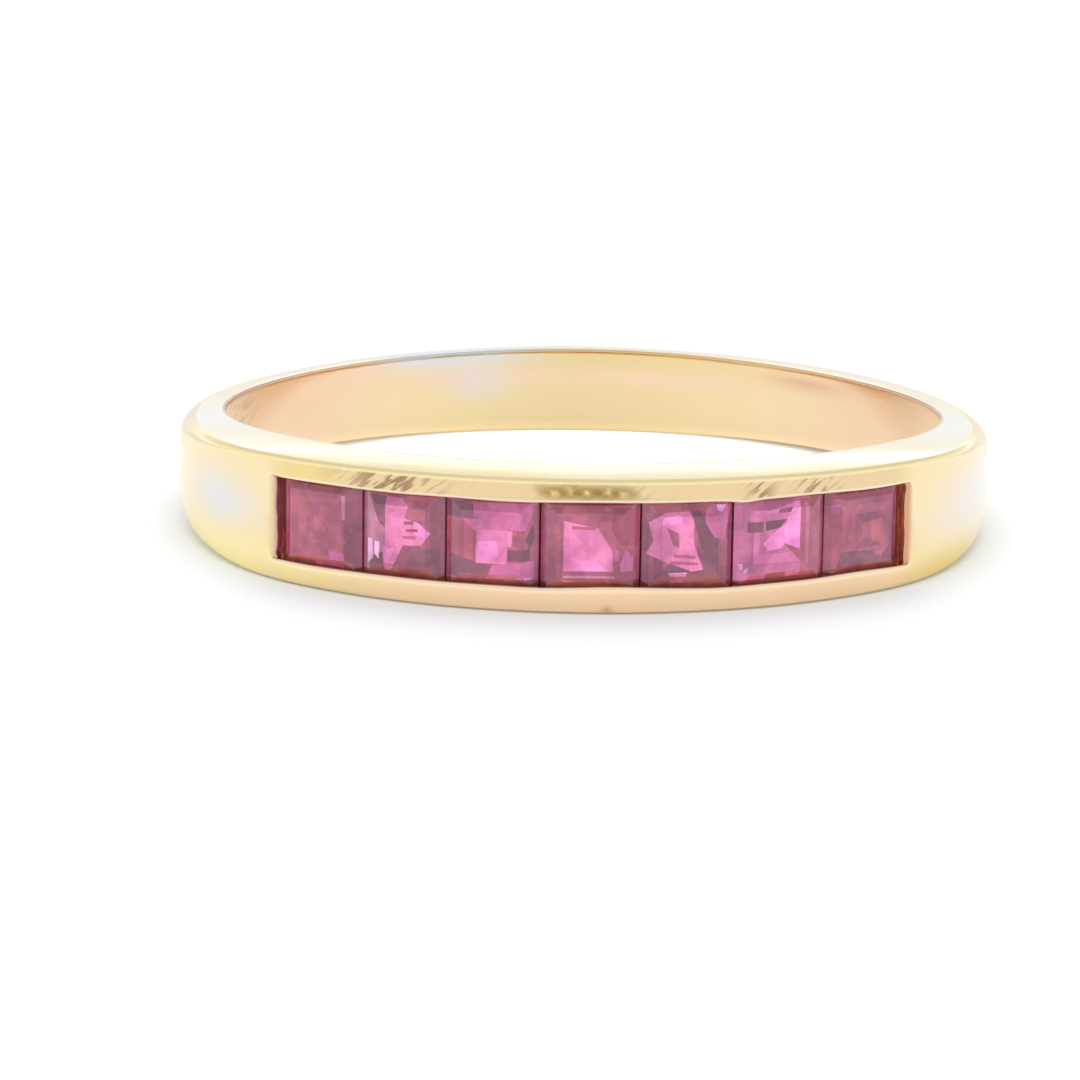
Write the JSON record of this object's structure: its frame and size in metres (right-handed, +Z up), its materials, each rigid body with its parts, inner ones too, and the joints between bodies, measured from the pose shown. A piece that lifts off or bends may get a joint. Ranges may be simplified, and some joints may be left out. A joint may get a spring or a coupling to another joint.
{
  "type": "channel set band",
  "caption": "Tapered gold finger ring lying on its side, with a row of square cut red stones held edge to edge in a channel between two rails.",
  "frame": {"origin": "on the surface that the ring rests on, under the middle of the ring's box", "axes": "+Z up, -Y towards the stones at the front of the ring, +X to the right as the stones are looked at"},
  "size_m": [0.019, 0.0198, 0.0029],
  "materials": {
    "gold": "polished yellow gold",
    "ruby": "cut and polished ruby"
  },
  "bodies": {
    "root": {"band": "gold", "stone_1": "ruby", "stone_2": "ruby", "stone_3": "ruby", "stone_4": "ruby", "stone_5": "ruby", "stone_6": "ruby", "stone_7": "ruby"}
  },
  "joints": []
}
